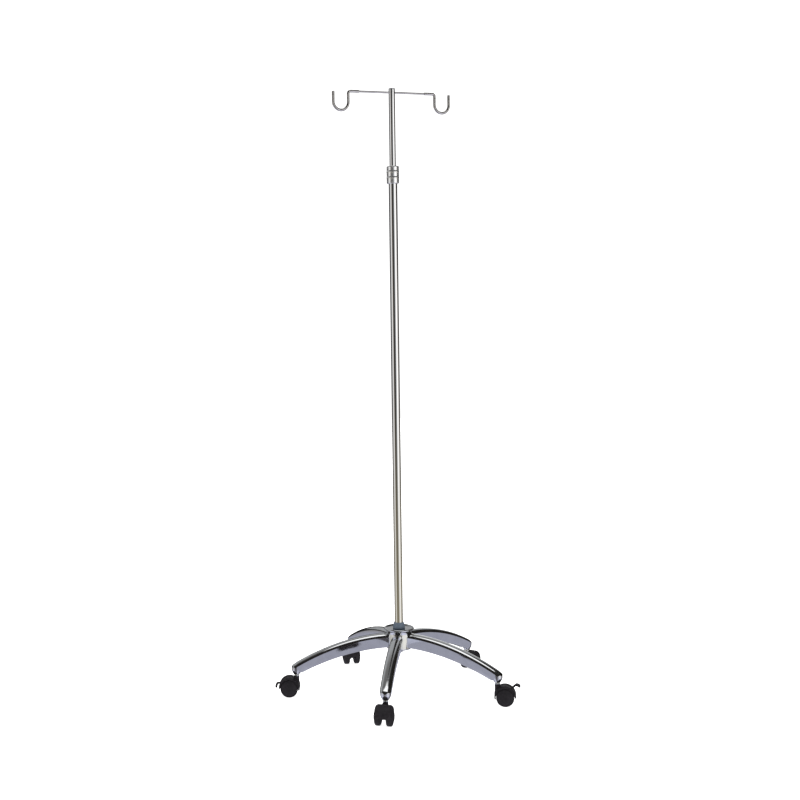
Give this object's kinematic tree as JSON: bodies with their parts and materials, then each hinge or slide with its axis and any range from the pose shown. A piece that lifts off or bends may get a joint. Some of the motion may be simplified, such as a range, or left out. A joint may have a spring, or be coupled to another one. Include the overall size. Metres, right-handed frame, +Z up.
{
  "type": "infusion stand",
  "caption": "Chromed roller drip stand: two-section height-adjustable mast with a lock collar, a bar with a hook at each end, arched legs and twin-wheel casters.",
  "frame": {"origin": "middle of the footprint, at the floor; the mast stands 19 mm off it, at x 7.5 mm, y -17.7 mm", "axes": "+Z up along the mast, +X along the hook bar at rest, +Y to the back"},
  "size_m": [0.5164, 0.4993, 1.305],
  "materials": {
    "chrome_tube": "bright chrome plate, polished",
    "chrome_base": "bright chrome plate over a polished casting",
    "chrome_knob": "bright chrome plate, turned",
    "chrome_hooks": "chrome plate on bent rod, slightly dull",
    "chrome_stem": "chrome plate, slightly dull",
    "zinc_steel": "zinc plated",
    "plug_steel": "as machined",
    "slate_plastic": "moulded slate-blue plastic, satin",
    "nylon": "natural nylon",
    "hood_plastic": "moulded black nylon, satin",
    "wheel_plastic": "moulded black nylon, fine texture",
    "lever_plastic": "moulded black nylon, satin"
  },
  "bodies": {
    "base": {"base_hub": "chrome_base", "leg_front": "chrome_base", "leg_right": "chrome_base", "leg_rear_right": "chrome_base", "leg_rear_left": "chrome_base", "leg_left": "chrome_base", "leg_screw_front": "zinc_steel", "leg_screw_right": "zinc_steel", "leg_screw_rear_right": "zinc_steel", "leg_screw_rear_left": "zinc_steel", "leg_screw_left": "zinc_steel", "stem_sleeve_front": "nylon", "stem_sleeve_right": "nylon", "stem_sleeve_rear_right": "nylon", "stem_sleeve_rear_left": "nylon", "stem_sleeve_left": "nylon", "base_bolt": "zinc_steel", "base_washer": "zinc_steel", "foot_plug": "plug_steel", "pole_collar": "slate_plastic", "outer_tube": "chrome_tube", "collet": "nylon"},
    "lock_ring": {"lock_collar": "chrome_knob"},
    "mast_foot": {"foot_glide": "nylon"},
    "mast_head": {"inner_tube": "chrome_tube", "mast_cap": "chrome_tube", "cross_bar": "chrome_hooks", "hook_left": "chrome_hooks", "hook_right": "chrome_hooks"},
    "caster_front": {"caster_stem_front": "chrome_stem", "caster_hood_front": "hood_plastic", "axle_front": "zinc_steel"},
    "front_wheel_a": {"wheel_front_a": "wheel_plastic"},
    "front_wheel_b": {"wheel_front_b": "wheel_plastic"},
    "caster_right": {"caster_stem_right": "chrome_stem", "caster_hood_right": "hood_plastic", "axle_right": "zinc_steel", "brake_pin_right": "zinc_steel"},
    "right_wheel_a": {"wheel_right_a": "wheel_plastic"},
    "right_wheel_b": {"wheel_right_b": "wheel_plastic"},
    "brake_right": {"brake_lever_right": "lever_plastic"},
    "caster_rear_right": {"caster_stem_rear_right": "chrome_stem", "caster_hood_rear_right": "hood_plastic", "axle_rear_right": "zinc_steel"},
    "rear_right_wheel_a": {"wheel_rear_right_a": "wheel_plastic"},
    "rear_right_wheel_b": {"wheel_rear_right_b": "wheel_plastic"},
    "caster_rear_left": {"caster_stem_rear_left": "chrome_stem", "caster_hood_rear_left": "hood_plastic", "axle_rear_left": "zinc_steel"},
    "rear_left_wheel_a": {"wheel_rear_left_a": "wheel_plastic"},
    "rear_left_wheel_b": {"wheel_rear_left_b": "wheel_plastic"},
    "caster_left": {"caster_stem_left": "chrome_stem", "caster_hood_left": "hood_plastic", "axle_left": "zinc_steel", "brake_pin_left": "zinc_steel"},
    "left_wheel_a": {"wheel_left_a": "wheel_plastic"},
    "left_wheel_b": {"wheel_left_b": "wheel_plastic"},
    "brake_left": {"brake_lever_left": "lever_plastic"}
  },
  "joints": [
    {"name": "lock_twist", "type": "hinge", "parent": "base", "child": "lock_ring", "pos_m": [0.0075, -0.0177, 1.122], "axis": [0, 0, 1], "range_deg": [0, 150]},
    {"name": "mast_slide", "type": "slide", "parent": "base", "child": "mast_foot", "axis": [0, 0, 1], "range_m": [-0.145, 0.595]},
    {"name": "mast_turn", "type": "hinge", "parent": "mast_foot", "child": "mast_head", "pos_m": [0.0075, -0.0177, 0.7], "axis": [0, 0, 1], "continuous": true},
    {"name": "swivel_front", "type": "hinge", "parent": "base", "child": "caster_front", "pos_m": [-0.11313, -0.21, 0.055], "axis": [0, 0, 1], "continuous": true},
    {"name": "roll_front_a", "type": "hinge", "parent": "caster_front", "child": "front_wheel_a", "pos_m": [-0.12288, -0.22293, 0.019], "axis": [0.7986, -0.6018, 0], "continuous": true},
    {"name": "roll_front_b", "type": "hinge", "parent": "caster_front", "child": "front_wheel_b", "pos_m": [-0.12288, -0.22293, 0.019], "axis": [0.7986, -0.6018, 0], "continuous": true},
    {"name": "swivel_right", "type": "hinge", "parent": "base", "child": "caster_right", "pos_m": [0.15311, -0.19185, 0.055], "axis": [0, 0, 1], "continuous": true},
    {"name": "roll_right_a", "type": "hinge", "parent": "caster_right", "child": "right_wheel_a", "pos_m": [0.16721, -0.19982, 0.019], "axis": [0.4924, 0.8704, 0], "continuous": true},
    {"name": "roll_right_b", "type": "hinge", "parent": "caster_right", "child": "right_wheel_b", "pos_m": [0.16721, -0.19982, 0.019], "axis": [0.4924, 0.8704, 0], "continuous": true},
    {"name": "brake_right_tip", "type": "hinge", "parent": "caster_right", "child": "brake_right", "pos_m": [0.1733, -0.20327, 0.032], "axis": [-0.4924, -0.8704, 0], "range_deg": [-50, 0]},
    {"name": "swivel_rear_right", "type": "hinge", "parent": "base", "child": "caster_rear_right", "pos_m": [0.21812, 0.06697, 0.055], "axis": [0, 0, 1], "continuous": true},
    {"name": "roll_rear_right_a", "type": "hinge", "parent": "caster_rear_right", "child": "rear_right_wheel_a", "pos_m": [0.23139, 0.07626, 0.019], "axis": [-0.5736, 0.8192, 0], "continuous": true},
    {"name": "roll_rear_right_b", "type": "hinge", "parent": "caster_rear_right", "child": "rear_right_wheel_b", "pos_m": [0.23139, 0.07626, 0.019], "axis": [-0.5736, 0.8192, 0], "continuous": true},
    {"name": "swivel_rear_left", "type": "hinge", "parent": "base", "child": "caster_rear_left", "pos_m": [-0.00794, 0.20877, 0.055], "axis": [0, 0, 1], "continuous": true},
    {"name": "roll_rear_left_a", "type": "hinge", "parent": "caster_rear_left", "child": "rear_left_wheel_a", "pos_m": [-0.00513, 0.22473, 0.019], "axis": [-0.9848, 0.1736, 0], "continuous": true},
    {"name": "roll_rear_left_b", "type": "hinge", "parent": "caster_rear_left", "child": "rear_left_wheel_b", "pos_m": [-0.00513, 0.22473, 0.019], "axis": [-0.9848, 0.1736, 0], "continuous": true},
    {"name": "swivel_left", "type": "hinge", "parent": "base", "child": "caster_left", "pos_m": [-0.21266, 0.0376, 0.055], "axis": [0, 0, 1], "continuous": true},
    {"name": "roll_left_a", "type": "hinge", "parent": "caster_left", "child": "left_wheel_a", "pos_m": [-0.22734, 0.04445, 0.019], "axis": [-0.4226, -0.9063, 0], "continuous": true},
    {"name": "roll_left_b", "type": "hinge", "parent": "caster_left", "child": "left_wheel_b", "pos_m": [-0.22734, 0.04445, 0.019], "axis": [-0.4226, -0.9063, 0], "continuous": true},
    {"name": "brake_left_tip", "type": "hinge", "parent": "caster_left", "child": "brake_left", "pos_m": [-0.23369, 0.04741, 0.032], "axis": [0.4226, 0.9063, 0], "range_deg": [0, 50]}
  ]
}
